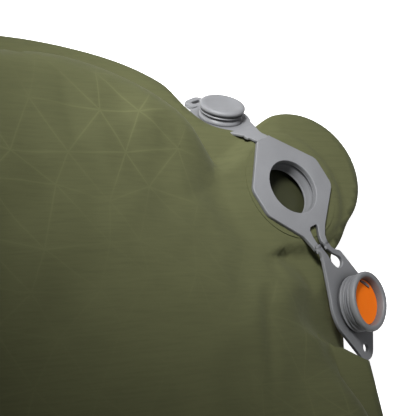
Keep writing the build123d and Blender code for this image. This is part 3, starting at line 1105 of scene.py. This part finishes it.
def plate_outline():
    """Rounded plate, the stopper's neck on one side and two rails on the other."""
    end = plug_bend + bend_lap
    lower = [
        (stopper_bend, -neck, 0.5), (-27.5, -neck, 9), (-7.5, -24.5, 5), (7.5, -24.5, 5),
        (25.5, -6.8, 12), (plug_bend - 1.5, -waist, 6), (end, -waist, 0), (end, -slit, 0),
        (plug_bend - 2.5, -slit, 3), (26.5, -2.2, 2.5), (21.5, -3.2, 1.2),
    ]
    return rounded(lower + [(x, -y, radius) for x, y, radius in reversed(lower)])


def valve_plate():
    """Base plate with the grooved socket below it and the first half of the tether."""
    plate = soft_plate([plate_outline(), circle((0, 0), hole_radius)], plate_thickness, 0.4)
    socket = lathe([
        (14.35, -1.0), (14.35, -1.95), (14.05, -2.15), (14.0, -3.0), (14.75, -3.15), (14.75, -4.4),
        (14.0, -4.6), (14.0, -8.2), (13.4, -8.4), (13.4, -9.3), (13.6, -9.5), (16.0, -9.5), (16.2, -9.3),
        (16.2, -1.0),
    ])
    points, faces = joined(plate, socket, shifted(knuckle(1), (plug_bend, 0, 0)))
    return moulding("valve_plate", from_valve(swayed(points, base_sway)), faces, grey_plastic)


def tangent_lean(x1, r1, x2, r2):
    """Slope in degrees of the upper tangent of two circles on the first axis."""
    return degrees(asin((r1 - r2) / (x2 - x1)))


def rib(height, root=12.6, crest=13.7):
    """One round rib of the barrel's side, as (radius, height) points."""
    side = [(root, -0.7), (crest - 0.3, -0.4), (crest, 0), (crest - 0.3, 0.4), (root, 0.7)]
    return [(radius, height + rise) for radius, rise in side]


def flap_outline():
    """Two rails that open round the teardrop, the rounded diamond and the pull tab."""
    lean_in = tangent_lean(root_out, root_radius, barrel_out, flap_radius)
    lean_out = tangent_lean(barrel_out, flap_radius, tab_out, tab_radius)
    upper = [(-bend_lap, waist), (2.0, waist), (4.0, waist + 0.7)]
    upper += arc((root_out, 0), root_radius, 120, 90 - lean_in, 10)
    upper += arc((barrel_out, 0), flap_radius, 90 - lean_in, 90 - lean_out, 5)
    upper += arc((tab_out, 0), tab_radius, 90 - lean_out, 0, 12)
    teardrop = arc((9.4, 0), 3.9, 124, 0, 12)
    inner = [(-bend_lap, slit), (2.4, slit), (4.8, 1.9)] + teardrop
    lower, inner_low = [[(x, -y) for x, y in half[:-1]] for half in (upper, inner)]
    return lower + upper[::-1] + inner + inner_low[::-1]


def inflation_plug():
    """Flap with its pull tab, the ribbed barrel and the second half of the tether."""
    holes = [circle((barrel_out, 0), 11.4), circle((54.6, 0), 2.1, 15)]
    flap = soft_plate([flap_outline()] + holes, plate_thickness)
    barrel = lathe([(11.2, -1.9), (12.6, -1.9)] + rib(1.7) + rib(3.8) + [
        (12.6, 5.2), (13.3, 5.5), (13.5, 5.9), (13.2, 6.3), (12.7, 6.6), (12.9, 7.0), (13.9, 7.4),
        (14.4, 8.0), (14.45, 9.6), (14.1, 10.3), (13.4, 10.6), (12.4, 10.5), (11.8, 10.1), (11.6, 9.4),
        (11.2, 7.0),
    ])
    points, faces = joined(flap, shifted(barrel, (barrel_out, 0, 0)), knuckle(-1))
    points = swayed(points, plug_sway)
    return moulding("inflation_plug_moulding", hung(points, "tether_bend", 1), faces, grey_plastic)


def membrane_disc():
    """Soft orange disc with a rounded rim."""
    outline = rounded([(x, y, 0.4) for x, y in arc((0, 0), 11.05, 0, 355, 5)])
    disc = soft_plate([outline], 0.6, 0.12)
    points, faces = shifted(disc, (barrel_out, barrel_aside, 6.5))
    return moulding("membrane_disc", hung(points, "tether_bend", 1), faces, orange_silicone)


def stopper_outline():
    """Round flange with its slotted tab."""
    centre = (stopper_out, 0)
    tab = rounded([(42.2, -10.4, 4), (51.3, -9.0, 3), (50.6, 2.0, 3), (42.5, 3.6, 3)])
    return arc(centre, stopper_flange, 205, 320, 5) + tab + arc(centre, stopper_flange, 23, 155, 5)


def slot_outline(centre, half_length, half_width):
    """A clockwise slot that runs across the arm."""
    x, y = centre
    top = arc((x, y + half_length - half_width), half_width, 180, 0, 20)
    bottom = arc((x, y - half_length + half_width), half_width, 0, -180, 20)
    return top + bottom


def stopper_piece():
    """Neck, flange with its slotted tab, and the ribbed plug with a dished top."""
    flange = soft_plate([stopper_outline(), slot_outline((46.7, -3.6), 3.3, 1.1)], 2.4, 0.5)
    web = rounded([
        (0.6, -neck, 0), (6.0, -neck, 4), (13.0, -8.6, 5), (24.0, -13.6, 1), (24.0, 13.6, 1),
        (13.0, 8.6, 5), (8.2, 5.2, 2), (7.8, 6.1, 0.8), (5.4, 6.1, 0.8), (5.0, neck, 0.8), (0.6, neck, 0),
    ])
    web_plate = soft_plate([web], 1.5, 0.4)
    plug = lathe([
        (0, -1.0), (11.2, -1.0), (11.2, 0.6), (10.8, 1.0), (10.7, 1.6), (10.0, 2.0), (9.9, 2.7),
        (10.2, 3.0), (10.8, 3.3), (10.8, 3.8), (10.2, 4.1), (10.0, 4.4), (10.2, 4.8), (11.1, 5.2),
        (11.45, 5.8), (11.4, 6.6), (10.9, 7.2), (10.1, 7.5), (8.8, 7.4), (7.4, 7.0), (5.5, 6.7),
        (3.0, 6.6), (0, 6.6),
    ])
    points, faces = joined(flange, shifted(web_plate, (0, 0, -0.15)), shifted(plug, (stopper_out, 0, 0)))
    return moulding("stopper_moulding", hung(points, "stopper_bend", -1), faces, grey_plastic)


attach(valve_plate(), "pad", "valve_base")
attach(inflation_plug(), "inflation_plug", "inflation_plug")
attach(membrane_disc(), "membrane", "membrane")
attach(stopper_piece(), "stopper", "stopper")

kept_looks = {"ear_patch": patch_fabric, "valve_seat": seat_plastic, "membrane_clip": seat_plastic}
for node, look in kept_looks.items():
    frame["nodes"][node].data.materials.clear()
    frame["nodes"][node].data.materials.append(look)

# ---- floor, light and camera ----


def floor_plane():
    size = 30000.0
    n = Nodes("floor")
    shade = n.mix(n.blotches(2.0), (0.93, 0.93, 0.93, 1), (0.95, 0.95, 0.95, 1))
    seen = n.add("LightPath").outputs["Is Camera Ray"]
    glow = n.range(seen, 0.0, 1.0, 0.3, 0.95)
    n.set(Base_Color=shade, Roughness=0.95, Emission_Color=(1, 1, 1, 1), Emission_Strength=glow)
    corners = [(-size, -size, -0.5), (size, -size, -0.5), (size, size, -0.5), (-size, size, -0.5)]
    return make_object("floor", corners, [(0, 1, 2, 3)], n.material)


floor = floor_plane()

look = unit(np.array((0.3179, -0.6521, -0.6884)))  # the way the camera looks
level_up = unit(np.array((0, 0, 1)) - look * look[2])
image_x = unit(0.811 * level_up + 0.585 * np.cross(look, level_up))
image_y = np.cross(-look, image_x)
hole_m = hole / 1000
distance = 0.7
lens = 124.51
hole_aside = (0.05936, 0.01501)  # the hole's place right of and above the picture's middle, as slopes


def add_camera():
    """Looks at the hole, then swings so that the hole falls at its own place in the picture."""
    base = Matrix((image_x.tolist(), image_y.tolist(), (-look).tolist())).transposed()
    aim = Vector((hole_aside[0], hole_aside[1], -1)).normalized()
    swing = aim.rotation_difference(Vector((0, 0, -1))).to_matrix()
    data = bpy.data.cameras.new("camera")
    data.sensor_width, data.lens, data.clip_start = 36.0, lens, 0.01
    camera = bpy.data.objects.new("camera", data)
    scene.collection.objects.link(camera)
    camera.matrix_world = Matrix.Translation(Vector(hole_m - look * distance)) @ (base @ swing).to_4x4()
    scene.camera = camera


def from_hole(x, y, z):
    """A place measured from the hole by image right, image up and towards the camera, in metres."""
    return hole_m + image_x * x + image_y * y - look * z


def light(name, kind, place, target, power, **settings):
    """A light that stands at a place and faces a target."""
    data = bpy.data.lights.new(name, kind)
    data.energy = power
    for key, value in settings.items():
        setattr(data, key, value)
    obj = bpy.data.objects.new(name, data)
    obj.location = place
    obj.rotation_mode = "QUATERNION"
    obj.rotation_quaternion = Vector(target - place).to_track_quat("-Z", "Y")
    scene.collection.objects.link(obj)


def beam(name, place, target, power, angle, size):
    """A round beam that fades towards its rim."""
    light(name, "SPOT", place, target, power, spot_size=radians(angle), spot_blend=1.0,
          shadow_soft_size=size)


add_camera()
beam("key", from_hole(-0.08, 0.42, 0.54), from_hole(-0.045, 0.03, 0.0), 36.0, angle=28.0, size=0.1)
light("fill", "AREA", from_hole(-0.9, -0.9, 1.2), hole_m, 6.0, shape="DISK", size=1.2)
# lights the rest of the pad, which the key beam leaves dark
beam("room", np.array((-0.5, -0.1, 2.2)), np.array((-0.45, 0.0, 0.0)), 280.0, angle=57.0, size=0.5)
world = bpy.data.worlds.new("studio")
world.use_nodes = True
tree = world.node_tree
backdrop = tree.nodes["Background"].inputs
backdrop["Color"].default_value = (1, 1, 1, 1)
# the backdrop is seen as white, but lights the pad only a little
strength = tree.nodes.new("ShaderNodeMapRange")
strength.inputs["To Min"].default_value = 0.11
strength.inputs["To Max"].default_value = 1.0
seen = tree.nodes.new("ShaderNodeLightPath").outputs["Is Camera Ray"]
tree.links.new(seen, strength.inputs["Value"])
tree.links.new(strength.outputs["Result"], backdrop["Strength"])
scene.world = world
scene.view_settings.view_transform = "Standard"
